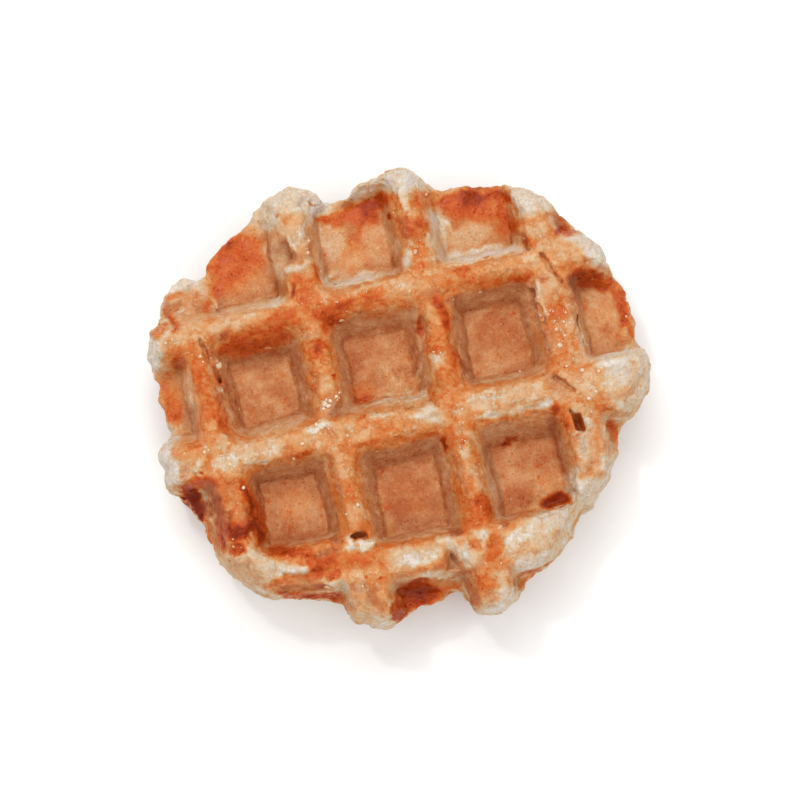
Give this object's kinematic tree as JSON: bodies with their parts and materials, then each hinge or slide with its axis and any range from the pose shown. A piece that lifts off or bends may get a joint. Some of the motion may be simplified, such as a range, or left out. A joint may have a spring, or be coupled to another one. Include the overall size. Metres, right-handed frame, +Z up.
{
  "type": "liege waffle",
  "caption": "Thick, uneven oval waffle of caramelised brioche dough, with deep square pockets pressed into both faces. Lies flat on its lower ridges; eaten by hand.",
  "frame": {"origin": "bottom centre of the box, on the surface that the waffle lies on", "axes": "+Z up, out of the face shown; +X along the long side, with the ridges running along X and Y"},
  "size_m": [0.1036, 0.0958, 0.024],
  "materials": {
    "waffle_crust": null
  },
  "bodies": {
    "root": {"waffle": "waffle_crust"}
  },
  "joints": []
}
